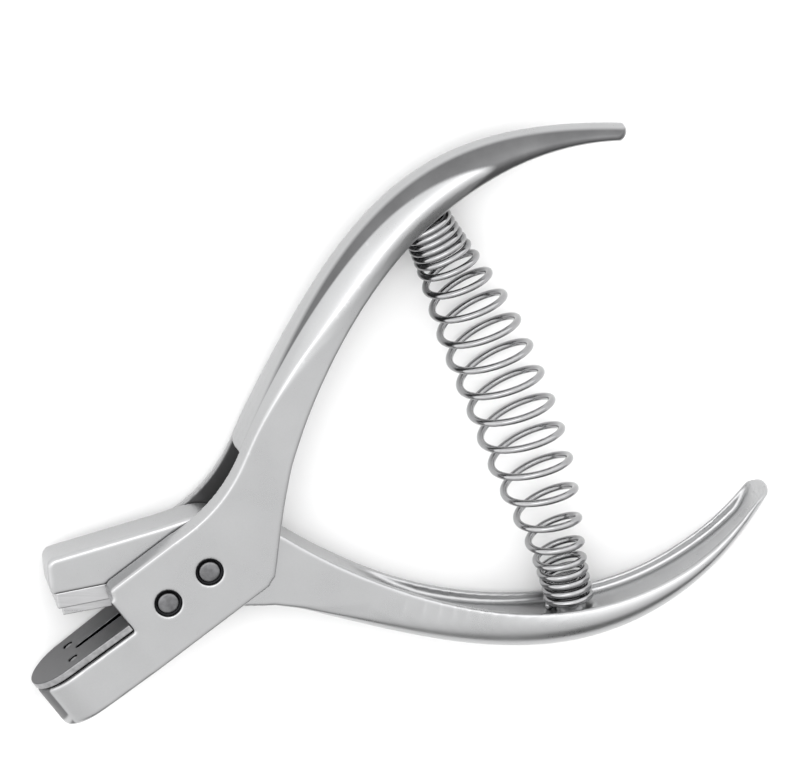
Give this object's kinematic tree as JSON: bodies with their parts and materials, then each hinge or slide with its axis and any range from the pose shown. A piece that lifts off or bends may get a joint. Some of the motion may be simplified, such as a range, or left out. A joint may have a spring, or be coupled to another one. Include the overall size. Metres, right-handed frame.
{
  "type": "slot punch pliers",
  "caption": "Hand-held slot punch pliers with a slotted die plate, a swinging punch jaw, two curved hollow handles and a barrel return spring",
  "frame": {"origin": "on the resting face of the lower cheek, midway between the pivot pin and the stop pin", "axes": "+Z along the pivot pin, out of the upper cheek; -X towards the jaws; +X towards the handle tips; +Y towards the upper handle"},
  "size_m": [0.1512, 0.1258, 0.018],
  "materials": {
    "cast_body": "satin nickel plate",
    "die_steel": "dark hardened steel, ground",
    "pin_steel": "dull steel",
    "spring_steel": "polished",
    "block_steel": "ground"
  },
  "bodies": {
    "die_side": {"die_lever": "cast_body", "die_plate": "die_steel", "die_dowels": "pin_steel", "pivot_pin": "pin_steel", "stop_pin": "pin_steel", "upper_spring_stud": "cast_body", "return_spring": "spring_steel"},
    "punch_side": {"punch_lever": "cast_body", "punch_block": "block_steel", "slot_blade": "block_steel", "lower_spring_stud": "cast_body"}
  },
  "joints": [
    {"name": "handle_pivot", "type": "hinge", "parent": "die_side", "child": "punch_side", "pos_m": [-0.00418, -0.00326, 0.0085], "axis": [0, 0, 1], "range_deg": [0, 27.5], "stiffness_Nm_per_rad": 6, "springref_deg": -7.45, "deforming": ["return_spring"]}
  ]
}
